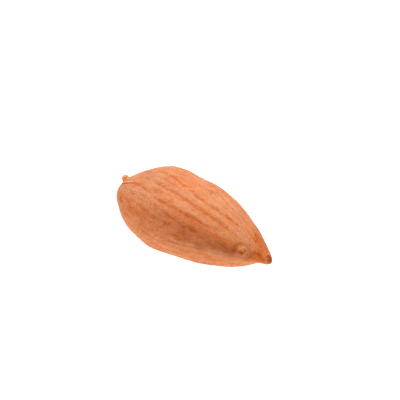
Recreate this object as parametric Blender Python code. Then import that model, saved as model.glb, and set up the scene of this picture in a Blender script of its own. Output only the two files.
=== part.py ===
"""A shelled almond kernel in its brown skin, lying on the flat spot of its belly.

The kernel is worked out in its own frame first: X runs from the blunt end to the
nib, -Y is the ventral edge, which carries the scar near the nib, and +Z is up.
s goes from 0 at the blunt end to 1 at the nib, and v is the angle round the
kernel, 0 at the ventral edge and 90 degrees on top. It is then pitched and rolled
onto the spot that it rests on. Lengths here are in millimetres until the mesh is
made, in metres.
"""

import math

import bmesh
import bpy
from mathutils import Matrix, Vector

MM = 0.001

LENGTH = 25.0
WIDTH = 12.7
THICKNESS = 10.6

# Fullness of the outline towards the blunt end and towards the nib, seen from
# above and seen from the side: a smaller number is a blunter end.
PLAN_BLUNT, PLAN_NIB = 0.56, 0.78
SIDE_BLUNT, SIDE_NIB = 0.65, 0.97
BACK_RISE = 0.5  # the middle of the axis stands this much higher than its ends

NIB_RADIUS = 0.60
NIB_LENGTH = 1.7
NIB_DROP = -0.03
NIB_TURN = 0.29
NIB_BLEND = 0.25

# Swellings and hollows: s, v in degrees, spread in s, spread in degrees, height.
LUMPS = (
    (0.245, 108, 0.075, 38, 0.29),  # swelling of the shoulder
    (0.100, 78, 0.045, 38, -0.10),  # flatter towards the nub
    (0.405, 122, 0.060, 32, -0.18),  # flat behind the shoulder
    (0.760, 150, 0.035, 30, -0.07),  # shallow flat of the far edge
    (0.515, 298, 0.080, 32, -0.17),  # flat of the lower side
    (0.350, 311, 0.060, 32, 0.19),  # corner of the lower side
    (0.225, 318, 0.040, 30, 0.07),  # fuller beside the corner
    (0.090, 335, 0.050, 38, -0.26),  # flattened blunt end
    (0.810, 292, 0.070, 35, 0.12),  # belly below the scar
    (0.945, 300, 0.040, 50, -0.42),  # hollow under the nib
)

# How it lies.
PITCH = 6.5  # nib down, in degrees
ROLL = 8.0  # ventral edge up, in degrees
AXIS_HEIGHT = 4.50  # of the axis's ends, over the surface that it rests on
SHIFT_X = 0.004
SHIFT_Y = -0.053

# The nub on the blunt end.
NUB_S, NUB_V = 0.060, 60.0
NUB_RADIUS = 0.47
NUB_STAND = 0.24  # its centre over the skin

RINGS = 44
SIDES = 40


def profile(s, blunt, nib):
    """0 at both ends and 1 at the fullest station."""
    top = (blunt / (blunt + nib)) ** blunt * (nib / (blunt + nib)) ** nib
    return s**blunt * (1 - s) ** nib / top


def smooth(x):
    x = min(max(x, 0.0), 1.0)
    return x * x * (3 - 2 * x)


def wrap(angle):
    return (angle + 180) % 360 - 180


def surface(s, v):
    """A point of the skin in the kernel's own frame, in millimetres."""
    width = WIDTH / 2 * profile(s, PLAN_BLUNT, PLAN_NIB)
    height = THICKNESS / 2 * profile(s, SIDE_BLUNT, SIDE_NIB)
    half = NIB_LENGTH / LENGTH / 2
    if s > 0.9:
        nib = NIB_RADIUS * math.sqrt(max(0.0, 1 - ((s - (1 - half)) / half) ** 2))
        blend = NIB_BLEND * smooth((s - 0.9) / 0.06) * smooth((1 - s) / 0.03)
        width = (width + nib + math.hypot(width - nib, blend)) / 2
        height = (height + nib + math.hypot(height - nib, blend)) / 2
    turn = math.radians(v)
    y = -width * math.cos(turn)
    z = height * math.sin(turn)
    radius = math.hypot(y, z) + 1e-9
    swell = sum(
        a * math.exp(-(((s - s0) / ds) ** 2) - (wrap(v - v0) / dv) ** 2)
        for s0, v0, ds, dv, a in LUMPS
    )
    grow = 1 + swell * smooth(radius / 2.0) / radius
    end = smooth((s - 0.88) / 0.12)
    return Vector(
        (
            (s - 0.5) * LENGTH,
            y * grow + NIB_TURN * end,
            z * grow + BACK_RISE * 4 * s * (1 - s) + NIB_DROP * end,
        )
    )


def lying():
    """From the kernel's own frame to how it lies."""
    return (
        Matrix.Translation((SHIFT_X, SHIFT_Y, AXIS_HEIGHT))
        @ Matrix.Rotation(math.radians(PITCH), 4, "Y")
        @ Matrix.Rotation(-math.radians(ROLL), 4, "X")
    )


def skin_material():
    material = bpy.data.materials.new("almond_skin")
    material.use_nodes = True
    shader = material.node_tree.nodes["Principled BSDF"]
    shader.inputs["Base Color"].default_value = (0.62, 0.27, 0.12, 1.0)
    shader.inputs["Roughness"].default_value = 0.62
    shader.inputs["Metallic"].default_value = 0.0
    return material


def mesh_object(name, bm):
    mesh = bpy.data.meshes.new(name)
    bm.to_mesh(mesh)
    bm.free()
    made = bpy.data.objects.new(name, mesh)
    bpy.context.scene.collection.objects.link(made)
    return made


def kernel():
    """Rings of points round the kernel from end to end, with a point at each end."""
    bm = bmesh.new()
    place = lying()
    rings = []
    for i in range(1, RINGS):
        s = 0.5 - 0.5 * math.cos(math.pi * i / RINGS)
        rings.append(
            [
                bm.verts.new(place @ surface(s, 360 * j / SIDES) * MM)
                for j in range(SIDES)
            ]
        )
    for a, b in zip(rings, rings[1:]):
        for j in range(SIDES):
            k = (j + 1) % SIDES
            bm.faces.new((a[j], b[j], b[k], a[k]))
    for ring, s in ((rings[0], 0.0), (rings[-1], 1.0)):
        tip = bm.verts.new(place @ surface(s, 0.0) * MM)
        for j in range(SIDES):
            bm.faces.new((ring[j], ring[(j + 1) % SIDES], tip))
    bmesh.ops.recalc_face_normals(bm, faces=bm.faces)
    # The flat spot: everything below the surface that it rests on is cut away.
    cut = bmesh.ops.bisect_plane(
        bm,
        geom=bm.verts[:] + bm.edges[:] + bm.faces[:],
        plane_co=(0, 0, 0),
        plane_no=(0, 0, -1),
        clear_outer=True,
        dist=1e-6,
    )
    rim = [e for e in cut["geom_cut"] if isinstance(e, bmesh.types.BMEdge)]
    bmesh.ops.contextual_create(bm, geom=rim)
    bmesh.ops.triangulate(bm, faces=bm.faces)
    bmesh.ops.recalc_face_normals(bm, faces=bm.faces)
    made = mesh_object("almond_kernel", bm)
    made.data.materials.append(skin_material())
    return made


def nub():
    """The ball that the Boolean joins to the blunt end."""
    place = lying()
    foot = surface(NUB_S, NUB_V)
    along = surface(NUB_S + 0.01, NUB_V) - surface(NUB_S - 0.01, NUB_V)
    across = surface(NUB_S, NUB_V + 3) - surface(NUB_S, NUB_V - 3)
    out = across.cross(along).normalized()
    if out.dot(foot) < 0:
        out.negate()
    bm = bmesh.new()
    bmesh.ops.create_icosphere(bm, subdivisions=2, radius=NUB_RADIUS * MM)
    bmesh.ops.translate(bm, verts=bm.verts, vec=(place @ (foot + out * NUB_STAND)) * MM)
    made = mesh_object("nub_guide", bm)
    made.hide_render = True
    made.display_type = "WIRE"
    return made


def main():
    for old in list(bpy.data.objects):
        bpy.data.objects.remove(old, do_unlink=True)
    body = kernel()
    join = body.modifiers.new("nub", "BOOLEAN")
    join.operation = "UNION"
    join.solver = "EXACT"
    join.object = nub()
    for polygon in body.data.polygons:
        polygon.use_smooth = polygon.normal.z > -0.9999
    body.data.set_sharp_from_angle(angle=math.radians(40))


main()
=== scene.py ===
import math

import bmesh
import bpy
import numpy as np
from mathutils import Matrix, Vector


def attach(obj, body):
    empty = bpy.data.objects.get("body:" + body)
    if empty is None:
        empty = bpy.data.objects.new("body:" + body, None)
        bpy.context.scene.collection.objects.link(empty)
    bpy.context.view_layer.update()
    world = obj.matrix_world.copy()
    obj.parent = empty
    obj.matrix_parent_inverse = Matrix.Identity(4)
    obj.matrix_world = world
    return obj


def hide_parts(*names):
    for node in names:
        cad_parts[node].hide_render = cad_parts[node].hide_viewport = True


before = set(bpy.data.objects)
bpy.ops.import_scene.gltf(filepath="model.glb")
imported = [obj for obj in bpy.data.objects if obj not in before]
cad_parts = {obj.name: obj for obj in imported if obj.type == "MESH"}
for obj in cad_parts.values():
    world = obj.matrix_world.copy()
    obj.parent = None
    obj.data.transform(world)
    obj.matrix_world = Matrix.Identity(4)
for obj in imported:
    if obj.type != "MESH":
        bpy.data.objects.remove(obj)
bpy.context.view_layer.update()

# A shelled almond kernel. Its skin is worked out in the kernel's own frame, in
# millimetres: X runs from the blunt end to the nib, -Y is the ventral edge and +Z
# is up. s goes from 0 at the blunt end to 1 at the nib. v is the angle round the
# kernel in degrees, 0 at the ventral edge and 90 on top.

MM = 0.001

# ---------------------------------------------------------------- the form

LENGTH = 25.0
WIDTH = 12.7
THICKNESS = 10.6
PLAN_BLUNT, PLAN_NIB = 0.56, 0.78
SIDE_BLUNT, SIDE_NIB = 0.65, 0.97
BACK_RISE = 0.5
NIB_RADIUS = 0.60
NIB_LENGTH = 1.7
NIB_DROP = -0.03
NIB_TURN = 0.29
NIB_BLEND = 0.25
LUMPS = (
    (0.245, 108, 0.075, 38, 0.29),
    (0.100, 78, 0.045, 38, -0.10),
    (0.405, 122, 0.060, 32, -0.18),
    (0.760, 150, 0.035, 30, -0.07),
    (0.515, 298, 0.080, 32, -0.17),
    (0.350, 311, 0.060, 32, 0.19),
    (0.225, 318, 0.040, 30, 0.07),
    (0.090, 335, 0.050, 38, -0.26),
    (0.810, 292, 0.070, 35, 0.12),
    (0.945, 300, 0.040, 50, -0.42),
)
PITCH = 6.5
ROLL = 8.0
AXIS_HEIGHT = 4.50
SHIFT_X = 0.004
SHIFT_Y = -0.053

NUB_S, NUB_V = 0.060, 60.0

# ---------------------------------------------------------------- the camera

FOCAL = 1662.0  # pixels, in a frame of 400 by 400
MM_PER_PIXEL = 0.1295
AZIMUTH = 40.0
ELEVATION = 27.0
CENTRE_X, CENTRE_Y = 194.3, 224.0  # where the middle of the kernel's axis shows

# ---------------------------------------------------------------- helpers


def smooth(x):
    x = np.clip(x, 0.0, 1.0)
    return x * x * (3 - 2 * x)


def wrap(angle):
    return (angle + 180.0) % 360.0 - 180.0


def bell(x):
    return np.exp(-x * x)


def hashed(ix, iy, iz, seed):
    """A number from 0 to 1 for each lattice point."""
    h = (
        ix.astype(np.int64) * 374761393
        + iy.astype(np.int64) * 668265263
        + iz.astype(np.int64) * 2147483647
        + seed * 974634777
    ) & 0xFFFFFFFF
    h = ((h ^ (h >> 13)) * 1274126177) & 0xFFFFFFFF
    h = ((h ^ (h >> 16)) * 2246822519) & 0xFFFFFFFF
    return ((h ^ (h >> 15)) & 0xFFFFFF) / float(0xFFFFFF)


def noise(x, y, z, seed=0):
    """Smooth lattice noise from -1 to 1."""
    fx, fy, fz = np.floor(x), np.floor(y), np.floor(z)
    ix, iy, iz = fx.astype(np.int64), fy.astype(np.int64), fz.astype(np.int64)
    tx, ty, tz = x - fx, y - fy, z - fz
    u, v, w = (t * t * t * (t * (t * 6 - 15) + 10) for t in (tx, ty, tz))
    total = 0.0
    for a in (0, 1):
        for b in (0, 1):
            for c in (0, 1):
                share = (
                    (u if a else 1 - u) * (v if b else 1 - v) * (w if c else 1 - w)
                )
                # A gradient at each corner, so that the field has no blocky look.
                h = hashed(ix + a, iy + b, iz + c, seed) * 2 * np.pi
                k = hashed(ix + a, iy + b, iz + c, seed + 101) * 2 - 1
                r = np.sqrt(1 - k * k)
                total = total + share * (
                    r * np.cos(h) * (tx - a) + r * np.sin(h) * (ty - b) + k * (tz - c)
                )
    return np.clip(total * 1.6, -1, 1)


def layered(x, y, z, seed=0, layers=3, gain=0.5):
    total, size, amount = 0.0, 1.0, 0.0
    for i in range(layers):
        f = 2.03**i
        total = total + size * noise(x * f, y * f, z * f, seed + 7 * i)
        amount += size
        size *= gain
    return total / amount


# ---------------------------------------------------------------- the skin


def profile(s, blunt, nib):
    top = (blunt / (blunt + nib)) ** blunt * (nib / (blunt + nib)) ** nib
    s = np.clip(s, 0.0, 1.0)
    return s**blunt * (1 - s) ** nib / top


def half_sizes(s):
    width = WIDTH / 2 * profile(s, PLAN_BLUNT, PLAN_NIB)
    height = THICKNESS / 2 * profile(s, SIDE_BLUNT, SIDE_NIB)
    half = NIB_LENGTH / LENGTH / 2
    nib = NIB_RADIUS * np.sqrt(np.clip(1 - ((s - (1 - half)) / half) ** 2, 0, None))
    blend = NIB_BLEND * smooth((s - 0.9) / 0.06) * smooth((1 - s) / 0.03)
    near = s > 0.9
    width = np.where(near, (width + nib + np.hypot(width - nib, blend)) / 2, width)
    height = np.where(near, (height + nib + np.hypot(height - nib, blend)) / 2, height)
    return width, height


def form(s, v):
    """The plain form, as points in the kernel's frame."""
    width, height = half_sizes(s)
    turn = np.radians(v)
    y = -width * np.cos(turn)
    z = height * np.sin(turn)
    radius = np.hypot(y, z) + 1e-9
    swell = 0.0
    for s0, v0, ds, dv, a in LUMPS:
        swell = swell + a * bell((s - s0) / ds) * bell(wrap(v - v0) / dv)
    grow = 1 + swell * smooth(radius / 2.0) / radius
    end = smooth((s - 0.88) / 0.12)
    return np.stack(
        [
            (s - 0.5) * LENGTH,
            y * grow + NIB_TURN * end,
            z * grow + BACK_RISE * 4 * s * (1 - s) + NIB_DROP * end,
        ],
        axis=-1,
    )


def form_normal(s, v):
    e, d = 1e-4, 0.05
    a = form(np.clip(s + e, 0, 1), v) - form(np.clip(s - e, 0, 1), v)
    s_in = np.clip(s, 2e-4, 1 - 2e-4)
    b = form(s_in, v + d) - form(s_in, v - d)
    n = np.cross(a, b)
    n /= np.linalg.norm(n, axis=-1, keepdims=True) + 1e-12
    n[s <= 0] = (-1, 0, 0)
    n[s >= 1] = (1, 0, 0)
    return n


def along(s, v, points):
    """v of a line through (s, v) points, eased between them, at each s."""
    ps = np.array([p[0] for p in points], float)
    pv = np.array([p[1] for p in points], float)
    k = np.gradient(pv, ps)
    i = np.clip(np.searchsorted(ps, s) - 1, 0, len(ps) - 2)
    h = ps[i + 1] - ps[i]
    t = np.clip((s - ps[i]) / h, 0, 1)
    return (
        (2 * t**3 - 3 * t**2 + 1) * pv[i]
        + (t**3 - 2 * t**2 + t) * h * k[i]
        + (-2 * t**3 + 3 * t**2) * pv[i + 1]
        + (t**3 - t**2) * h * k[i + 1]
    )


# Veins: strength, width in mm, and the points (s, v) that they run through.
VEINS = (
    # The crease that carries on from the fold below the nub.
    (0.64, 0.15, ((0.225, 43.5), (0.265, 42.8), (0.292, 40.4), (0.330, 39.6), (0.370, 37.6), (0.430, 36.8))),
    (0.45, 0.12, ((0.115, 35.4), (0.145, 33.6), (0.170, 32.0), (0.200, 30.5), (0.260, 28.2))),
    # The long veins of the upper side.
    (1.05, 0.23, ((0.38, 36.5), (0.45, 37.0), (0.52, 35.5), (0.60, 35.0), (0.66, 36.5), (0.74, 40.0))),
    (0.95, 0.22, ((0.28, 56.5), (0.36, 54.5), (0.45, 54.0), (0.53, 53.0), (0.62, 53.0), (0.70, 54.5), (0.80, 55.0))),
    (0.95, 0.22, ((0.25, 79.0), (0.33, 78.0), (0.38, 75.0), (0.43, 71.0), (0.46, 70.5), (0.495, 74.5))),
    (1.20, 0.24, ((0.50, 70.5), (0.55, 67.5), (0.61, 67.5), (0.68, 69.5), (0.74, 73.0), (0.80, 77.0))),
    (0.55, 0.19, ((0.545, 98.0), (0.555, 93.0), (0.575, 87.0), (0.60, 83.5))),
    (0.50, 0.18, ((0.57, 92.0), (0.60, 96.0), (0.65, 95.5), (0.70, 93.5), (0.76, 96.0))),
    (0.50, 0.17, ((0.10, 35.5), (0.16, 32.0), (0.22, 29.5), (0.32, 27.0), (0.42, 26.5))),
    (0.60, 0.19, ((0.44, 27.0), (0.50, 24.5), (0.56, 20.5), (0.62, 18.5), (0.68, 21.0))),
    (0.50, 0.18, ((0.20, 20.0), (0.30, 17.0), (0.40, 13.0), (0.50, 12.0), (0.60, 10.0))),
    (0.60, 0.19, ((0.44, -9.5), (0.50, -11.0), (0.57, -12.5), (0.63, -12.0), (0.72, -8.0))),
    (0.55, 0.19, ((0.30, -13.0), (0.38, -16.0), (0.46, -18.5), (0.56, -20.0), (0.68, -18.0))),
    (0.40, 0.20, ((0.52, 2.5), (0.60, 1.5), (0.68, 4.0), (0.78, 8.0))),
    (0.45, 0.22, ((0.40, -31.0), (0.52, -33.0), (0.66, -33.0), (0.80, -28.0))),
    (0.45, 0.20, ((0.22, 90.0), (0.30, 92.0), (0.38, 91.0), (0.46, 87.0), (0.54, 84.0))),
    (0.50, 0.18, ((0.14, 66.0), (0.20, 67.5), (0.28, 67.0), (0.36, 64.5), (0.46, 62.0))),
    (0.40, 0.20, ((0.60, 83.0), (0.68, 84.5), (0.76, 87.0), (0.86, 90.0))),
)
# The sides that face away carry veins of the same kind, spread by rule.
FAR_VEINS = 25
FAR_FROM, FAR_TO = 112.0, 318.0

# The fold below the nub, and the notch in the blunt end.
FOLD = ((0.045, 37.5), (0.075, 41.6), (0.105, 42.8), (0.140, 44.0), (0.163, 45.8), (0.186, 45.9), (0.211, 46.2), (0.245, 46.5))
NOTCH = ((0.030, -5.0), (0.055, 2.8), (0.090, 13.0), (0.125, 20.8))

SCAR_S, SCAR_V = 0.880, 35.5

# Patches of the skin on the side in view: s, v, half length and half breadth in mm, strength.
ORANGE_PATCHES = (
    (0.235, 10.5, 0.9, 0.6, 1.0), (0.160, 0, 1.6, 1.0, 0.8), (0.400, 0, 3.5, 0.8, 0.15), (0.475, 75, 0.7, 0.35, 0.75),
    (0.360, 77, 1.3, 0.5, 0.5), (0.500, 52.5, 1.6, 0.3, 0.4), (0.680, 53, 1.3, 0.3, 0.35), (0.715, -24, 1.2, 0.5, 0.15),
    (0.608, 7.8, 0.8, 0.35, 0.85), (0.770, 74, 0.5, 0.45, 0.6), (0.905, 104, 1.1, 1.4, 0.65),
    (0.125, 12, 1.3, 1.2, 1.0), (0.508, -4, 1.0, 0.4, 0.6), (0.240, -6, 1.3, 0.8, 0.7), (0.225, 14, 0.9, 0.4, 0.4),
    (0.655, 32, 1.6, 0.45, 0.8), (0.725, 28, 1.0, 0.4, 0.7), (0.070, 50, 0.7, 0.4, 0.7), (0.310, 57, 1.2, 0.3, 0.3),
    (0.560, -22, 1.6, 0.4, 0.2), (0.940, 20, 0.7, 0.7, 0.6), (0.330, 3, 1.2, 0.6, 0.3), (0.555, 67, 1.0, 0.28, 0.6), (0.700, 54.5, 1.2, 0.28, 0.6), (0.715, 47, 0.8, 0.4, 0.4), (0.475, -5, 1.6, 0.6, 0.3), (0.365, 1, 1.2, 0.6, 0.3),
)
PALE_PATCHES = (
    (0.285, 33, 1.4, 0.7, 1.0), (0.350, 31, 1.6, 0.5, 0.7), (0.190, 33, 1.6, 0.6, 0.7), (0.240, 26, 1.2, 0.5, 0.6), (0.430, 26, 1.0, 0.3, 0.7), (0.500, 61.5, 1.7, 0.3, 0.8),
    (0.400, 63, 0.9, 0.3, 0.2), (0.580, 46, 1.2, 0.3, 0.5), (0.670, 43, 0.6, 0.3, 0.7), (0.450, 45, 2.5, 0.35, 0.6),
    (0.665, 23, 0.4, 0.3, 0.5), (0.720, 18, 0.4, 0.6, 0.6), (0.625, -4, 0.8, 0.35, 0.9),
    (0.690, -4, 0.5, 0.5, 0.6), (0.810, 5, 0.9, 0.7, 0.7), (0.760, -4, 0.8, 0.5, 0.6),
    (0.500, 93, 2.7, 1.6, 0.65), (0.660, 99, 2.5, 1.6, 0.7), (0.650, -42, 3.0, 1.0, 0.5), (0.200, 22, 0.7, 0.5, 0.6),
    (0.240, 95, 1.8, 1.5, 0.6), (0.680, 86, 2.2, 0.6, 0.5), (0.790, 98, 1.8, 1.2, 0.35), (0.700, 63, 1.2, 0.3, 0.6), (0.440, 85, 0.9, 0.4, 0.4),
    (0.800, 80, 0.8, 1.0, 0.5), (0.880, 63, 0.9, 0.7, 0.5), (0.835, -13, 1.8, 0.8, 0.45), (0.410, 21.5, 0.8, 0.5, 0.7), (0.390, -4, 0.9, 0.5, 0.5), (0.447, -25, 0.9, 0.6, 0.6), (0.600, 98, 1.0, 0.8, 0.75), (0.171, 57, 1.2, 0.9, 0.5), (0.720, -31, 2.0, 0.7, 0.6), (0.345, 16, 1.6, 0.6, 0.45),
)
DARK_PATCHES = (
    (0.635, 20.5, 0.80, 0.28, 1.0), (0.634, 5.2, 0.8, 0.24, 1.0), (0.605, -0.5, 0.9, 0.24, 1.0), (0.690, -4, 0.6, 0.35, 0.8),
    (0.500, 13.5, 0.7, 0.2, 0.7), (0.420, 12, 0.9, 0.2, 0.7), (0.350, 18, 0.5, 0.2, 0.45), (0.505, 23.5, 0.8, 0.2, 0.8),
    (0.555, 15, 0.4, 0.2, 0.4), (0.710, 23, 0.5, 0.25, 0.6), (0.735, 12, 0.3, 0.5, 0.8), (0.800, 16, 1.1, 0.55, 1.0), (0.700, 6, 0.3, 0.3, 0.5), (0.570, 3, 0.4, 0.2, 0.5),
    (0.830, 8, 0.7, 0.5, 0.7), (0.850, 22, 0.5, 0.5, 0.9), (0.255, 6, 0.8, 0.40, 0.6), (0.228, 12, 0.7, 0.40, 0.45),
    (0.290, 4, 0.8, 0.2, 0.5), (0.380, -16, 0.9, 0.25, 0.5), (0.570, -11, 1.0, 0.2, 0.6), (0.210, -10, 0.6, 0.3, 0.4),
    (0.612, -5, 0.8, 0.4, 0.35), (0.729, 74, 0.40, 0.16, 0.9), (0.865, 46, 0.5, 0.35, 0.6), (0.370, 76, 0.7, 0.22, 0.45), (0.700, -1, 0.5, 0.2, 0.5),
    (0.870, 108, 0.4, 0.5, 0.5), (0.570, 90, 0.25, 0.5, 0.5), (0.320, 0, 1.6, 0.5, 0.22), (0.908, 34, 0.70, 0.50, 0.8), (0.918, 45, 0.30, 0.30, 0.5), (0.858, 41, 0.8, 0.4, 0.45), (0.884, 48, 0.45, 0.25, 0.5), (0.660, 0.8, 0.6, 0.3, 0.4),
)
LIGHT_PATCHES = (
    (0.700, -12, 1.9, 0.28, 0.9), (0.550, -7, 0.9, 0.2, 0.5), (0.570, 45, 1.6, 0.25, 0.6), (0.460, 46, 1.4, 0.22, 0.6),
    (0.560, 61, 1.4, 0.22, 0.6), (0.485, 29.5, 0.8, 0.2, 0.5), (0.740, 60, 1.2, 0.4, 0.5), (0.100, 30, 0.9, 0.4, 0.6),
    (0.520, 79, 1.0, 0.35, 0.5), (0.550, 8, 0.35, 0.25, 0.6), (0.690, 11, 0.3, 0.2, 0.6), (0.745, 21, 0.3, 0.25, 0.5),
    (0.760, 38, 1.0, 0.4, 0.5), (0.450, 5, 0.4, 0.25, 0.5), (0.340, 11, 0.5, 0.2, 0.4), (0.650, 99, 2.0, 0.9, 0.55), (0.660, 85, 2.4, 0.9, 0.7), (0.880, -6, 0.8, 0.6, 0.5),
    (0.575, 62, 1.6, 0.45, 0.65), (0.625, 63, 1.0, 0.4, 0.6), (0.715, 48.5, 0.9, 0.45, 0.7), (0.365, 1, 1.2, 0.6, 0.35), (0.460, -22, 1.6, 0.6, 0.4), (0.470, 16, 2.0, 0.5, 0.3),
    (0.530, 76, 1.2, 0.5, 0.4), (0.988, 3, 0.35, 0.7, 1.0), (0.740, 86, 2.2, 0.9, 0.35), (0.520, 94, 2.2, 1.0, 0.35), (0.390, -4, 0.7, 0.4, 0.4), (0.160, 0, 1.0, 0.7, 0.25),
)
FAR_PATCHES = 22  # of each kind, on the sides that face away


def far_veins():
    rng = np.random.default_rng(11)
    made = []
    for i in range(FAR_VEINS):
        middle = FAR_FROM + (FAR_TO - FAR_FROM) * (i + 0.5) / FAR_VEINS
        start = 0.08 + 0.22 * rng.random()
        stop = start + 0.34 + 0.36 * rng.random()
        bend = rng.normal(0, 2.2, 5)
        lean = rng.normal(0, 3.0)
        stations = np.linspace(start, min(stop, 0.86), 5)
        made.append(
            (
                0.50 + 0.50 * rng.random(),
                0.16 + 0.06 * rng.random(),
                tuple(
                    (float(s), float(middle + lean * (s - 0.5) * 2 + b))
                    for s, b in zip(stations, bend)
                ),
            )
        )
    return tuple(made)


def far_patches(seed):
    rng = np.random.default_rng(seed)
    return tuple(
        (
            0.12 + 0.74 * rng.random(),
            125.0 + 185.0 * rng.random(),
            0.5 + 1.3 * rng.random() ** 2,
            0.2 + 0.45 * rng.random() ** 2,
            0.35 + 0.5 * rng.random(),
        )
        for _ in range(FAR_PATCHES)
    )


def reach_of(x, y, points):
    """Distance from each (x, y) to a line through points, and how far along it the nearest place is, 0 to 1."""
    best = np.full(x.shape, 1e9)
    where = np.zeros(x.shape)
    spans = [math.hypot(q[0] - p[0], q[1] - p[1]) for p, q in zip(points, points[1:])]
    total, run = sum(spans), 0.0
    for (px, py), (qx, qy), span in zip(points, points[1:], spans):
        t = np.clip(((x - px) * (qx - px) + (y - py) * (qy - py)) / span**2, 0, 1)
        d = np.hypot(x - px - t * (qx - px), y - py - t * (qy - py))
        nearer = d < best
        best = np.where(nearer, d, best)
        where = np.where(nearer, (run + t * span) / total, where)
        run += span
    return best, where


def fields(s, v):
    """The height of the fine relief over the plain form, in mm, and the masks that colour it."""
    width, height = half_sizes(s)
    turn = np.radians(v)
    radius = np.hypot(width * np.sin(turn), height * np.cos(turn)) + 1e-3  # mm per radian round the kernel
    x = (s - 0.5) * LENGTH
    cy, cz = np.cos(turn), np.sin(turn)
    fade = smooth(np.minimum(width, height) / 1.1)
    calm = 1 - 0.65 * smooth((s - 0.74) / 0.12)
    ends = smooth(s / 0.10) * smooth((0.95 - s) / 0.12)

    # Every line wanders a little.
    sway = (
        1.6 * noise(x * 0.22, cy * 3.1, cz * 3.1, 5)
        + 0.9 * noise(x * 0.7, cy * 6.0, cz * 6.0, 6)
        + 0.8 * noise(x * 2.1, cy * 12.0, cz * 12.0, 7)
    )
    groove = np.zeros_like(s)
    lips = np.zeros_like(s)
    for strength, size, points in VEINS + far_veins():
        ps = [p[0] for p in points]
        off = wrap(v + sway - along(s, v, points)) * np.pi / 180 * radius
        taper = min(0.05, (ps[-1] - ps[0]) / 3)
        window = smooth((s - ps[0]) / taper + 0.5) * smooth((ps[-1] - s) / taper + 0.5)
        broken = np.clip(
            0.70 + 0.42 * noise(x * 0.8, cy * 5 + strength, cz * 5, 31) + 0.88 * noise(x * 1.9, cy * 9, cz * 9, 33),
            0.12,
            1.15,
        )
        uneven = size * (1 + 0.35 * noise(x * 1.3, cy * 7, cz * 7 + size * 9, 35))
        core = 0.55 * bell(off / (1.25 * uneven)) + 0.50 * bell(off / (0.45 * uneven))
        groove = np.maximum(groove, strength * window * broken * core)
        lips = np.maximum(
            lips,
            strength * window * broken * bell((np.abs(off) - 2.0 * size) / (1.1 * size)),
        )

    # Fine wrinkles that run lengthwise, packed between the veins.
    vw = np.radians(v + 1.5 * sway)
    ay, az = np.cos(vw) * 5.6, np.sin(vw) * 5.6
    streak = noise(x * 0.46, ay * 1.55, az * 1.55, 12)
    streak2 = noise(x * 0.85, ay * 3.1, az * 3.1, 13)
    streak3 = noise(x * 1.6, ay * 5.6, az * 5.6, 14)
    # Thin wandering threads, where a slow field passes through zero.
    thread_a = bell(noise(x * 0.26 + 40, ay * 0.95, az * 0.95, 51) / 0.085)
    thread_b = bell(noise(x * 0.48 + 9, ay * 1.70, az * 1.70, 52) / 0.11)
    here = np.clip(0.5 + 1.3 * noise(x * 0.35, ay * 0.5, az * 0.5, 53), 0, 1)
    there = np.clip(0.45 + 1.3 * noise(x * 0.5, ay * 0.7, az * 0.7, 54), 0, 1)
    threads = np.clip(np.maximum(thread_a * here, 0.8 * thread_b * there), 0, 1)
    soft = layered(x * 0.21, cy * 1.15, cz * 1.15, 21, 3)
    blotch = layered(x * 0.42, cy * 2.3, cz * 2.3, 23, 4)
    pimples = noise(x * 3.2, ay * 4.2, az * 4.2, 61)

    relief = (
        -0.085 * groove
        + 0.035 * lips
        + ends * calm * (0.038 * streak + 0.034 * streak2 + 0.016 * streak3 - 0.030 * threads)
        + 0.007 * pimples * ends
        + 0.035 * soft
    ) * fade

    # The fold under the nub: a lip stands over a thin crease.
    fold = wrap(v - along(s, v, FOLD)) * np.pi / 180 * radius
    fold_window = smooth((s - 0.035) / 0.02) * smooth((0.262 - s) / 0.04)
    gap = 1 - 0.75 * bell((s - 0.137) / 0.010)
    swell = 1 + 0.25 * bell((s - 0.185) / 0.035) + 0.30 * bell((s - 0.085) / 0.030)
    lip_window = smooth((s - 0.035) / 0.02) * smooth((0.205 - s) / 0.06)
    relief = relief + fade * (
        0.055 * lip_window * bell((fold - 0.24) / 0.16)
        - 0.050 * fold_window * gap * swell * bell(fold / 0.075)
        + 0.012 * lip_window * bell((fold + 0.18) / 0.10)
    )
    fold_mask = fold_window * gap * bell(fold / (0.105 * swell)) * (0.70 + 0.40 * bell((s - 0.08) / 0.035))
    fold_lip = lip_window * np.maximum(bell((fold - 0.27) / 0.15), 0.5 * bell((fold + 0.18) / 0.09))

    # The notch in the blunt end, and the small boss below it.
    notch = wrap(v - along(s, v, NOTCH)) * np.pi / 180 * radius
    notch_window = smooth((s - 0.015) / 0.02) * smooth((0.140 - s) / 0.07)
    notch_mask = notch_window * bell(notch / 0.08)
    relief = relief - 0.05 * notch_mask * fade

    def local(s0, v0):
        return (s - s0) * LENGTH, wrap(v - v0) * np.pi / 180 * radius

    def patch(s0, v0, length, breadth):
        a, b = local(s0, v0)
        return bell(a / length) * bell(b / breadth)

    boss = patch(0.085, -8.0, 0.60, 0.50)
    dent = np.maximum(patch(0.130, 11.0, 0.42, 0.32), 0.85 * patch(0.153, 7.0, 0.36, 0.22))
    relief = relief + (0.05 * boss - 0.025 * dent) * fade

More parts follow.
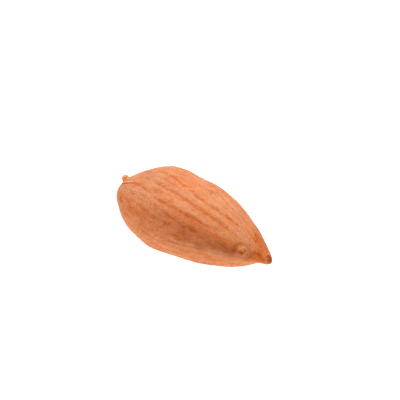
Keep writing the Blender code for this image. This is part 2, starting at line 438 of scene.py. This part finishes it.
    # The scar, in a flat chart of its own in mm: p runs across it and q down it.
    a, b = local(SCAR_S, SCAR_V)
    p, q = 1.11 * a + 0.427 * b, 0.60 * a - 0.644 * b
    near = bell(np.hypot(p, q - 0.3) / 2.6)
    lobe = bell(p / 0.38) * bell(q / 0.21)
    d, t = reach_of(p, q, ((-0.26, 0.32), (-0.12, 0.42), (0.06, 0.50), (0.20, 0.48), (0.34, 0.38)))
    pit = bell(d / 0.115) * (1 - 0.55 * smooth((t - 0.60) / 0.35)) * near
    d, t = reach_of(p, q, ((-0.36, 0.56), (-0.12, 0.72), (0.14, 0.78), (0.36, 0.70), (0.52, 0.50)))
    rim = bell(d / 0.10) * near * (0.3 + 0.7 * smooth((t - 0.4) / 0.3))
    d, t = reach_of(p, q, ((-1.12, 0.14), (-0.88, -0.26), (-0.56, -0.56), (0.08, -0.50), (0.66, -0.16), (0.86, 0.30)))
    moat = bell(d / 0.20) * near * (0.85 - 0.35 * smooth((t - 0.2) / 0.3))
    hollow = bell((p + 1.10) / 0.34) * bell((q - 0.10) / 0.22) * near
    d, t = reach_of(p, q, ((0.30, 1.06), (0.66, 1.10), (1.05, 0.95), (1.36, 0.50)))
    lower = bell(d / 0.22) * near
    relief = relief + 0.12 * lobe - 0.12 * pit + 0.05 * rim - 0.06 * moat - 0.10 * hollow - 0.05 * lower

    # The root of the nib: a deep groove across it, and the nib's dark cap.
    d, t = reach_of(
        (s - 0.95) * LENGTH,
        np.where(np.abs(wrap(v - 45)) < 120, wrap(v - 45) * np.pi / 180 * 0.95, 9.0),
        ((-0.46, -0.10), (-0.33, 0.0), (-0.125, 0.06), (0.125, 0.02), (0.425, -0.28), (0.525, -0.58)),
    )
    neck = bell(d / 0.25) * (0.45 + 0.55 * bell((t - 0.32) / 0.24)) * smooth((1 - t) / 0.2 + 0.3)
    relief = relief - 0.09 * neck
    cap = smooth((s - 0.969) / 0.008) * bell(wrap(v - 90) / 34.0)
    cap = np.maximum(cap, smooth((s - 0.984) / 0.006) * bell(wrap(v - 65) / 78.0))
    nib = smooth((s - 0.93) / 0.03)
    ledge = patch(0.944, 24.0, 0.55, 0.50)
    relief = relief + 0.05 * ledge - 0.03 * cap

    # Small slanting wrinkles above the nib.
    cross = patch(0.898, 106.0, 1.0, 1.0)
    a, b = local(0.90, 95.0)
    slant = a * 0.80 - b * 0.60
    folds = noise(slant * 0.5 + 3, (a * 0.6 + b * 0.8) * 2.6, slant * 0 + 0.5, 41)
    d, t = reach_of(a, b, ((-1.03, 0.51), (-0.65, 0.32), (-0.30, 0.18), (-0.16, -0.06), (-0.15, -0.24)))
    cross_line = bell(d / 0.13) * (0.7 + 0.3 * bell((t - 0.45) / 0.35))
    d, t = reach_of(a, b, ((-0.55, -0.38), (-0.20, -0.46)))
    cross_line = np.maximum(cross_line, 0.55 * bell(d / 0.11))
    d, t = reach_of(a, b, ((0.0, 0.12), (0.40, -0.02), (0.70, -0.06)))
    cross_line = np.maximum(cross_line, 0.45 * bell(d / 0.13))
    relief = relief + cross * 0.045 * folds - 0.06 * cross_line

    # Zones of colour.
    # The ventral band: darker skin, and painted shade along the side that gets the least light.
    band_centre = np.interp(s, (0.0, 0.25, 0.5, 0.7, 0.88, 1.0), (8.0, 8.0, 13.0, 15.0, 14.0, 14.0))
    band_width = np.interp(s, (0.0, 0.25, 0.5, 0.7, 0.88, 1.0), (16.0, 18.0, 17.0, 16.0, 14.0, 10.0))
    band_and_painted_shade = bell(wrap(v - band_centre + 5 * soft) / band_width) * np.interp(
        s, (0.0, 0.18, 0.42, 0.55, 0.70, 0.84, 0.93, 1.0), (0.0, 0.10, 0.60, 1.0, 1.0, 1.0, 0.3, 0.0)
    )
    # Each patch is torn into streaks by the wrinkles, so that none has an even edge.
    torn = np.clip(0.85 + 0.55 * streak2 + 0.35 * streak3, 0.2, 1.3)
    shift_s = 0.010 * noise(x * 0.9, ay * 1.1, az * 1.1, 71)
    shift_v = 3.0 * noise(x * 0.9, ay * 1.1, az * 1.1, 72)

    def patches(table, seed):
        total = np.zeros_like(s)
        for s0, v0, length, breadth, strength in table + far_patches(seed):
            a = (s + shift_s - s0) * LENGTH
            b = wrap(v + shift_v - v0) * np.pi / 180 * radius
            total = np.maximum(total, strength * bell(a / length) * bell(b / breadth))
        return np.clip(total * torn, 0, 1)

    orange = np.maximum(patches(ORANGE_PATCHES, 201), np.maximum(dent, 0.68 * smooth((s - 0.915) / 0.03)))
    pale = patches(PALE_PATCHES, 202)
    dark = patches(DARK_PATCHES, 203)
    light = patches(LIGHT_PATCHES, 204)
    # Painted shade: a darker greyish brown over the upper shoulder and the blunt end, where less light falls.
    painted_shade_shoulder = patch(0.24, 77.0, 3.7, 3.0)
    painted_shade_shoulder = np.maximum(painted_shade_shoulder, 0.75 * smooth((0.27 - s) / 0.18) * bell(wrap(v - 42) / 48.0))
    # Painted shade: the blunt end, the far rim above the nib and the top edge are darkened where less light falls.
    painted_shade = np.maximum(smooth((0.27 - s) / 0.14) * bell(wrap(v - 30) / 34.0), 0.6 * patch(0.30, 54.0, 2.6, 2.0))
    painted_shade = np.maximum(painted_shade, np.maximum(0.8 * patch(0.90, 128.0, 2.2, 1.2), 0.6 * patch(0.940, 90.0, 1.2, 1.0)))
    painted_shade = np.maximum(painted_shade, 0.25 * patch(0.420, 106.0, 2.8, 1.6))
    grey = np.maximum(patch(0.690, -2.5, 0.55, 0.50), 0.85 * patch(0.713, 0.5, 0.55, 0.40))
    grey = np.maximum(grey, np.maximum(0.55 * patch(0.758, 0.2, 0.60, 0.45), 0.35 * patch(0.815, 5.0, 0.50, 0.40)))
    a, b = local(0.7145, 23.5)
    d, t = reach_of(a, b, ((-0.09, -0.27), (0.09, 0.27)))
    scratch = bell(d / 0.09)
    pink = smooth(0.5 + 0.9 * noise(x * 0.22 + 3.0, cy * 1.4, cz * 1.4, 77))

    masks = {
        "groove": np.clip(groove, 0, 1),
        "threads": threads * ends * calm,
        "ridge": np.clip(lips * 0.8 + 0.9 * np.clip(streak, 0, 1) * ends * calm, 0, 1) * (1 - 0.6 * orange) * (1 - 0.6 * dark),
        "fold": np.clip(np.maximum(fold_mask, 0.8 * notch_mask), 0, 1),
        "fold_lip": np.clip(fold_lip + 0.5 * boss, 0, 1),
        "band_and_painted_shade": np.clip(band_and_painted_shade, 0, 1),
        "orange": orange,
        "pale": pale,
        "dark": np.clip(np.maximum(dark, dent), 0, 1),
        "light": np.clip(np.maximum(light * (1 - 0.75 * np.clip(groove, 0, 1)), scratch), 0, 1),
        "painted_shade_shoulder": painted_shade_shoulder,
        "painted_shade": np.clip(painted_shade, 0, 1),
        "grey": np.clip(grey * torn, 0, 1),
        "pink": np.clip(pink, 0, 1),
        "blotch": 0.5 + 0.5 * blotch,
        "scar_pale": np.clip(lobe + 0.6 * rim, 0, 1),
        "scar_dark": np.clip(pit * 1.2, 0, 1),
        # Painted shade in the moat and hollows round the scar.
        "hollow": np.clip(np.maximum(1.15 * hollow, np.maximum(0.85 * moat, 0.45 * lower)), 0, 1),
        "neck": np.clip(neck, 0, 1),
        "cap": np.clip(cap, 0, 1),
        "nib": np.clip(nib, 0, 1),
        "deep": np.clip(np.maximum(np.maximum(neck, cap), np.maximum(pit, np.maximum(0.8 * hollow, np.maximum(0.7 * dent, 0.7 * fold_mask)))), 0, 1),
        "cross": np.clip(cross, 0, 1),
        "cross_line": np.clip(cross_line + 0.5 * cross * np.clip(-folds * 1.5, 0, 1), 0, 1),
    }
    return relief, masks


def lying():
    return (
        Matrix.Translation((SHIFT_X, SHIFT_Y, AXIS_HEIGHT))
        @ Matrix.Rotation(math.radians(PITCH), 4, "Y")
        @ Matrix.Rotation(-math.radians(ROLL), 4, "X")
    )


PLACE = np.array(lying())


def place(points):
    return points @ PLACE[:3, :3].T + PLACE[:3, 3]


# The nub on the blunt end, as a turned profile: radius and height over the skin.
NUB_REACH = 0.88
NUB_PROFILE = (
    (0.00, 0.88, 0.00),
    (0.14, 0.74, 0.01),
    (0.27, 0.60, 0.05),
    (0.38, 0.51, 0.11),
    (0.50, 0.47, 0.20),
    (0.62, 0.49, 0.31),
    (0.74, 0.49, 0.43),
    (0.86, 0.40, 0.57),
    (0.95, 0.22, 0.67),
    (1.00, 0.00, 0.71),
)


def raise_nub(points, normals_at):
    """Draws the skin round the nub's foot out into the nub."""
    s0, v0 = np.array([NUB_S]), np.array([NUB_V])
    foot = form(s0, v0)[0]
    out = form_normal(s0, v0)[0]
    side = np.cross(out, (0.0, 0.0, 1.0))
    side /= np.linalg.norm(side)
    up = np.cross(side, out)
    d = points - foot
    a, b, c = d @ side, d @ up, d @ out
    rho = np.hypot(a, b)
    near = (rho < NUB_REACH) & (c > -1.0)
    t = 1 - rho[near] / NUB_REACH
    table = np.array(NUB_PROFILE)
    r = np.interp(t, table[:, 0], table[:, 1])
    h = np.interp(t, table[:, 0], table[:, 2])
    # Eased between the profile's points.
    fine = np.linspace(0, 1, 201)
    kernel = np.hanning(25)
    kernel /= kernel.sum()
    for column, target in ((1, "r"), (2, "h")):
        line = np.interp(fine, table[:, 0], table[:, column])
        padded = np.concatenate(
            [2 * line[0] - line[1:13][::-1], line, (2 * line[-1] - line[-13:-1][::-1])]
        )
        eased = np.convolve(padded, kernel, "valid")
        if target == "r":
            r = np.interp(t, fine, eased)
        else:
            h = np.interp(t, fine, eased)
    angle = np.arctan2(b[near], a[near])
    lump = 1 + 0.07 * np.sin(angle * 3 + 0.6) * smooth(t * 2) + 0.05 * np.sin(angle * 5 + 2.0) * smooth(t * 2)
    r = np.maximum(r, 0) * lump
    moved = (
        foot
        + np.outer(r * np.cos(angle), side)
        + np.outer(r * np.sin(angle), up)
        + np.outer(h + c[near] * (1 - smooth((t - 0.15) * 3.5)), out)
    )
    result = points.copy()
    result[near] = moved
    mask = np.zeros(len(points))
    # Covers the nub and its foot, where its colour is lightened as painted light.
    mask[near] = smooth((t - 0.23) / 0.18)
    return result, mask


ALONG = 372  # stations from end to end
ROUND = 252  # points round each


def stations():
    """Closer together at the two ends, where the form turns fastest."""
    t = np.linspace(0, 1, ALONG + 1)
    even = t
    eased = 0.5 - 0.5 * np.cos(np.pi * t)
    return 0.55 * even + 0.45 * eased


def skin_mesh():
    s_line = stations()
    v_line = -110.0 + 360.0 * np.arange(ROUND) / ROUND
    bm = bmesh.new()
    s_layer = bm.verts.layers.float.new("s")
    v_layer = bm.verts.layers.float.new("v")
    inner_s, inner_v = np.meshgrid(s_line[1:-1], v_line, indexing="ij")
    rough = form(inner_s.ravel(), inner_v.ravel())
    verts = []
    for p, s, v in zip(rough.tolist(), inner_s.ravel().tolist(), inner_v.ravel().tolist()):
        vert = bm.verts.new(p)
        vert[s_layer] = s
        vert[v_layer] = v
        verts.append(vert)
    ends = []
    for s in (0.0, 1.0):
        vert = bm.verts.new(form(np.array([s]), np.array([0.0]))[0].tolist())
        vert[s_layer] = s
        ends.append(vert)
    rows = ALONG - 1
    for i in range(rows - 1):
        a = i * ROUND
        b = a + ROUND
        for j in range(ROUND):
            k = (j + 1) % ROUND
            bm.faces.new((verts[a + j], verts[b + j], verts[b + k], verts[a + k]))
    for j in range(ROUND):
        k = (j + 1) % ROUND
        bm.faces.new((ends[0], verts[j], verts[k]))
        last = (rows - 1) * ROUND
        bm.faces.new((ends[1], verts[last + k], verts[last + j]))
    # More faces where the nub and the scar are.
    for s0, v0, reach, times in (
        (NUB_S, NUB_V, 0.70, 2),
        (0.885, 28.0, 0.95, 1),
    ):
        centre = Vector(form(np.array([s0]), np.array([v0]))[0].tolist())
        for step in range(times):
            edges = [
                e
                for e in bm.edges
                if ((e.verts[0].co + e.verts[1].co) / 2 - centre).length
                < reach * (1 - 0.15 * step)
            ]
            bmesh.ops.subdivide_edges(bm, edges=edges, cuts=1, use_grid_fill=True)
    bmesh.ops.triangulate(bm, faces=[f for f in bm.faces if len(f.verts) > 4])
    bm.verts.ensure_lookup_table()
    s = np.array([vert[s_layer] for vert in bm.verts])
    v = np.array([vert[v_layer] for vert in bm.verts])
    mesh = bpy.data.meshes.new("almond_skin_mesh")
    bm.to_mesh(mesh)
    bm.free()
    for name in ("s", "v"):
        mesh.attributes.remove(mesh.attributes[name])
    return mesh, s, v


def build_kernel():
    mesh, s, v = skin_mesh()
    relief, masks = fields(s, v)
    normal = form_normal(s, v)
    points = form(s, v) + normal * relief[:, None]
    points, masks["nub"] = raise_nub(points, normal)
    placed = place(points)
    placed[:, 2] = np.maximum(placed[:, 2], 0.0)
    mesh.vertices.foreach_set("co", (placed * MM).astype(np.float32).ravel())
    for name, values in masks.items():
        attribute = mesh.attributes.new(name, "FLOAT", "POINT")
        attribute.data.foreach_set("value", values.astype(np.float32))
    # Coordinates that run with the skin: along it, and round it at one radius.
    turn = np.radians(v)
    flow = np.stack([(s - 0.5) * LENGTH, np.cos(turn) * 5.6, np.sin(turn) * 5.6], -1)
    attribute = mesh.attributes.new("flow", "FLOAT_VECTOR", "POINT")
    attribute.data.foreach_set("vector", flow.astype(np.float32).ravel())
    attribute = mesh.attributes.new("spot", "FLOAT_VECTOR", "POINT")
    attribute.data.foreach_set("vector", points.astype(np.float32).ravel())
    mesh.polygons.foreach_set("use_smooth", [True] * len(mesh.polygons))
    mesh.update()
    made = bpy.data.objects.new("almond_skin", mesh)
    bpy.context.scene.collection.objects.link(made)
    return made


# ---------------------------------------------------------------- materials


class Tree:
    """Short names for making a node tree."""

    def __init__(self, material):
        self.tree = material.node_tree
        self.nodes = self.tree.nodes
        self.links = self.tree.links

    def new(self, kind, **settings):
        node = self.nodes.new(kind)
        for key, value in settings.items():
            setattr(node, key, value)
        return node

    def join(self, source, target):
        self.links.new(source, target)

    def mask(self, name):
        return self.new("ShaderNodeAttribute", attribute_name=name).outputs["Fac"]

    def feed(self, socket, value):
        if isinstance(value, (int, float, tuple)):
            socket.default_value = value
        else:
            self.join(value, socket)

    def maths(self, operation, a, b=0.0, clamp=False):
        node = self.new("ShaderNodeMath", operation=operation, use_clamp=clamp)
        self.feed(node.inputs[0], a)
        self.feed(node.inputs[1], b)
        return node.outputs[0]

    def mix(self, factor, a, b, blend="MIX"):
        node = self.new("ShaderNodeMix", data_type="RGBA", blend_type=blend)
        self.feed(node.inputs["Factor"], factor)
        self.feed(node.inputs[6], a)
        self.feed(node.inputs[7], b)
        return node.outputs[2]

    def ramp(self, factor, stops):
        node = self.new("ShaderNodeValToRGB")
        points = node.color_ramp.elements
        while len(points) < len(stops):
            points.new(0.5)
        for point, (at, colour) in zip(points, stops):
            point.position = at
            point.color = colour
        self.join(factor, node.inputs["Fac"])
        return node.outputs["Color"]

    def span(self, value, low, high, to_low=0.0, to_high=1.0):
        node = self.new("ShaderNodeMapRange", clamp=True)
        self.join(value, node.inputs["Value"])
        for socket, number in zip(("From Min", "From Max", "To Min", "To Max"), (low, high, to_low, to_high)):
            node.inputs[socket].default_value = number
        return node.outputs["Result"]

    def grain(self, vector, scale, detail=3.0, roughness=0.5, stretch=None, distortion=0.0):
        if stretch:
            mapping = self.new("ShaderNodeMapping")
            mapping.inputs["Scale"].default_value = stretch
            self.join(vector, mapping.inputs["Vector"])
            vector = mapping.outputs["Vector"]
        node = self.new("ShaderNodeTexNoise")
        node.inputs["Scale"].default_value = scale
        node.inputs["Detail"].default_value = detail
        node.inputs["Roughness"].default_value = roughness
        node.inputs["Distortion"].default_value = distortion
        self.join(vector, node.inputs["Vector"])
        return node.outputs["Fac"]


def rgb(r, g, b):
    """A colour given as it shows on a screen, 0 to 255, as linear light."""

    def linear(c):
        c /= 255.0
        return c / 12.92 if c <= 0.04045 else ((c + 0.055) / 1.055) ** 2.4

    return (linear(r), linear(g), linear(b), 1.0)


def skin_material():
    material = bpy.data.materials.new("almond_skin")
    material.use_nodes = True
    t = Tree(material)
    shader = t.nodes["Principled BSDF"]
    flow = t.new("ShaderNodeAttribute", attribute_name="flow").outputs["Vector"]
    spot = t.new("ShaderNodeAttribute", attribute_name="spot").outputs["Vector"]

    # Grain: granules of the skin, drawn out along it, and finer dust over them.
    granules = t.grain(spot, 3.6, 3.0, 0.6, (0.66, 1.0, 1.0), 0.4)
    dust = t.grain(spot, 9.0, 2.0, 0.6, (0.85, 1.0, 1.0))
    streaks = t.grain(flow, 1.5, 4.0, 0.6, (0.32, 1.0, 1.0), 0.6)
    dashes = t.grain(flow, 2.6, 3.0, 0.55, (0.42, 1.0, 1.0), 0.8)
    clouds = t.grain(flow, 0.35, 4.0, 0.55, (0.8, 1.0, 1.0), 0.3)
    mottle = t.grain(spot, 1.5, 3.0, 0.6, (0.6, 1.0, 1.0), 0.8)
    tint = t.grain(flow, 1.0, 0.6, 0.5, (0.42, 1.0, 1.0), 0.5)

    # The ground colour wanders between a pinkish and an orange brown.
    base = t.mix(t.mask("pink"), rgb(206, 122, 64), rgb(207, 131, 86))
    base = t.mix(t.span(clouds, 0.38, 0.64, 0.0, 0.8), base, rgb(200, 108, 46))
    base = t.mix(t.span(tint, 0.50, 0.66, 0.0, 0.75), base, rgb(204, 104, 36))
    base = t.mix(t.span(tint, 0.50, 0.34, 0.0, 0.70), base, rgb(205, 139, 104))
    base = t.mix(t.maths("MULTIPLY", t.span(t.mask("blotch"), 0.45, 0.75), 0.40), base, rgb(215, 146, 96))
    # Painted shade over the upper shoulder and the blunt end.
    base = t.mix(t.maths("MULTIPLY", t.mask("painted_shade_shoulder"), 0.80), base, rgb(170, 116, 84))
    base = t.mix(t.maths("MULTIPLY", t.mask("pale"), 0.88), base, rgb(205, 142, 116))
    base = t.mix(t.maths("MULTIPLY", t.mask("orange"), 0.85), base, rgb(208, 102, 28))
    # Granules and dust.
    base = t.mix(t.span(dust, 0.50, 0.36, 0.0, 0.58), base, rgb(168, 84, 38))
    base = t.mix(t.span(granules, 0.50, 0.70, 0.0, 0.46), base, rgb(170, 86, 36))
    base = t.mix(t.span(granules, 0.50, 0.30, 0.0, 0.39), base, rgb(228, 152, 98))
    base = t.mix(t.span(dust, 0.50, 0.64, 0.0, 0.55), base, rgb(236, 162, 106))
    # Streaks, veins and ridges.
    base = t.mix(t.span(streaks, 0.52, 0.72, 0.0, 0.45), base, rgb(181, 85, 30))
    base = t.mix(t.span(dashes, 0.57, 0.68, 0.0, 0.56), base, rgb(181, 82, 28))
    base = t.mix(t.maths("MULTIPLY", t.mask("ridge"), 0.42), base, rgb(223, 150, 98))
    base = t.mix(t.maths("MULTIPLY", t.mask("threads"), 0.42), base, rgb(174, 81, 30))
    base = t.mix(t.maths("MULTIPLY", t.mask("groove"), 0.72), base, rgb(173, 77, 28))
    base = t.mix(t.maths("MULTIPLY", t.mask("light"), 0.50), base, rgb(224, 160, 114))
    base = t.mix(t.maths("MULTIPLY", t.mask("orange"), 0.36), base, rgb(204, 92, 16))
    # The darker zone along the ventral edge: partly the skin's own darker colour, partly painted shade along the side
    # that gets the least light.
    base = t.mix(t.maths("MULTIPLY", t.mask("band_and_painted_shade"), 0.53), base, rgb(168, 78, 24))
    base = t.mix(t.maths("MULTIPLY", t.mask("band_and_painted_shade"), t.span(mottle, 0.52, 0.66, 0.0, 0.50)), base, rgb(150, 66, 18))
    base = t.mix(t.maths("MULTIPLY", t.mask("band_and_painted_shade"), t.span(mottle, 0.48, 0.34, 0.0, 0.55)), base, rgb(190, 116, 74))
    base = t.mix(t.maths("MULTIPLY", t.mask("dark"), 0.62), base, rgb(152, 64, 18))
    # Painted shade: the moat and hollows round the scar darkened.
    base = t.mix(t.maths("MULTIPLY", t.mask("hollow"), 0.75), base, rgb(152, 66, 16))
    base = t.mix(t.maths("MULTIPLY", t.mask("cross"), 0.55), base, rgb(204, 104, 34))
    base = t.mix(t.maths("MULTIPLY", t.mask("cross_line"), 0.75), base, rgb(168, 78, 20))
    # Painted shade, multiplied into the colour.
    base = t.mix(t.mask("painted_shade"), base, (0.86, 0.87, 0.88, 1.0), "MULTIPLY")
    base = t.mix(t.mask("grey"), base, (0.72, 0.85, 0.80, 1.0), "MULTIPLY")
    # The fold, the nub, the scar and the nib.
    base = t.mix(t.maths("MULTIPLY", t.mask("fold_lip"), 0.55), base, rgb(228, 146, 88))
    base = t.mix(t.maths("MULTIPLY", t.mask("fold"), 0.98), base, rgb(164, 62, 8))
    # The nub: its paler skin, lightened further as painted light over its shaded foot and underside.
    base = t.mix(t.maths("MULTIPLY", t.mask("nub"), 0.85), base, rgb(226, 154, 110))
    base = t.mix(t.maths("MULTIPLY", t.mask("neck"), 0.92), base, rgb(168, 66, 6))
    base = t.mix(t.maths("MULTIPLY", t.mask("cap"), 0.88), base, rgb(150, 58, 6))
    base = t.mix(t.maths("MULTIPLY", t.mask("scar_pale"), 0.68), base, rgb(206, 146, 88))
    base = t.mix(t.maths("MULTIPLY", t.mask("scar_dark"), 0.95), base, rgb(186, 70, 10))
    t.join(base, shader.inputs["Base Color"])

    rough = t.span(granules, 0.3, 0.7, 0.56, 0.70)
    t.join(rough, shader.inputs["Roughness"])
    # The pits hold no gloss.
    t.join(t.span(t.mask("deep"), 0.1, 0.8, 0.16, 0.02), shader.inputs["Specular IOR Level"])
    shader.inputs["Sheen Weight"].default_value = 0.05
    shader.inputs["Sheen Roughness"].default_value = 0.3
    shader.inputs["Sheen Tint"].default_value = (1.0, 0.86, 0.74, 1.0)
    shader.inputs["Subsurface Weight"].default_value = 0.12
    shader.inputs["Subsurface Radius"].default_value = (1.0, 0.45, 0.25)
    shader.inputs["Subsurface Scale"].default_value = 0.0006

    bump_fine = t.new("ShaderNodeBump")
    bump_fine.inputs["Strength"].default_value = 0.35
    bump_fine.inputs["Distance"].default_value = 0.00004
    t.join(dust, bump_fine.inputs["Height"])
    bump = t.new("ShaderNodeBump")
    bump.inputs["Strength"].default_value = 0.55
    bump.inputs["Distance"].default_value = 0.00010
    t.join(granules, bump.inputs["Height"])
    t.join(bump_fine.outputs["Normal"], bump.inputs["Normal"])
    t.join(bump.outputs["Normal"], shader.inputs["Normal"])
    return material


def floor_material():
    material = bpy.data.materials.new("pale_floor")
    material.use_nodes = True
    shader = material.node_tree.nodes["Principled BSDF"]
    shader.inputs["Base Color"].default_value = (0.34, 0.335, 0.32, 1.0)
    shader.inputs["Roughness"].default_value = 0.9
    shader.inputs["Specular IOR Level"].default_value = 0.1
    shader.inputs["Emission Color"].default_value = (1.0, 0.99, 0.965, 1.0)
    shader.inputs["Emission Strength"].default_value = 1.15
    return material


# ---------------------------------------------------------------- the scene


def add_floor():
    mesh = bpy.data.meshes.new("floor")
    r = 1.5
    mesh.from_pydata([(-r, -r, 0), (r, -r, 0), (r, r, 0), (-r, r, 0)], [], [(0, 1, 2, 3)])
    made = bpy.data.objects.new("floor", mesh)
    mesh.materials.append(floor_material())
    bpy.context.scene.collection.objects.link(made)
    return made


def add_area(name, position, target, size, power, colour=(1, 1, 1)):
    light = bpy.data.lights.new(name, "AREA")
    light.shape = "RECTANGLE"
    light.size, light.size_y = size
    light.energy = power
    light.color = colour
    made = bpy.data.objects.new(name, light)
    made.location = position
    made.rotation_euler = (Vector(target) - Vector(position)).to_track_quat("-Z", "Y").to_euler()
    bpy.context.scene.collection.objects.link(made)
    return made


def add_camera():
    a, e = math.radians(AZIMUTH), math.radians(ELEVATION)
    right = Vector((math.cos(a), math.sin(a), 0))
    back = Vector((math.sin(a) * math.cos(e), -math.cos(a) * math.cos(e), math.sin(e)))
    up = back.cross(right)
    middle = Vector((SHIFT_X, SHIFT_Y, AXIS_HEIGHT)) * MM
    distance = FOCAL * MM_PER_PIXEL * MM
    camera = bpy.data.cameras.new("camera")
    camera.sensor_fit = "HORIZONTAL"
    camera.sensor_width = 36.0
    camera.lens = 36.0 * FOCAL / 400.0
    camera.clip_start = 0.01
    camera.clip_end = 10.0
    made = bpy.data.objects.new("camera", camera)
    # The camera is turned so that the kernel's middle shows where it should.
    aim = (
        -back
        + right * (200.0 - CENTRE_X) / FOCAL
        + up * (CENTRE_Y - 200.0) / FOCAL
    ).normalized()
    z = -aim
    x = Vector((0, 0, 1)).cross(z).normalized()
    y = z.cross(x)
    rotation = Matrix((x, y, z)).transposed().to_4x4()
    made.matrix_world = Matrix.Translation(middle + back * distance) @ rotation
    bpy.context.scene.collection.objects.link(made)
    bpy.context.scene.camera = made
    return made


def add_world():
    world = bpy.data.worlds.new("studio")
    world.use_nodes = True
    ground = world.node_tree.nodes["Background"]
    ground.inputs["Color"].default_value = (1.0, 1.0, 1.0, 1.0)
    ground.inputs["Strength"].default_value = 0.30
    bpy.context.scene.world = world


def main():
    scene = bpy.context.scene
    scene.view_settings.view_transform = "Standard"
    scene.view_settings.look = "None"
    add_camera()
    kernel = build_kernel()
    kernel.data.materials.append(skin_material())
    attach(kernel, "root")
    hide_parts("almond_kernel")
    add_floor()
    add_world()
    add_area("overhead", (-0.178, 0.075, 0.60), (0, 0, 0), (1.00, 0.90), 9.15)
    print("triangles", sum(len(p.vertices) - 2 for p in kernel.data.polygons))


main()
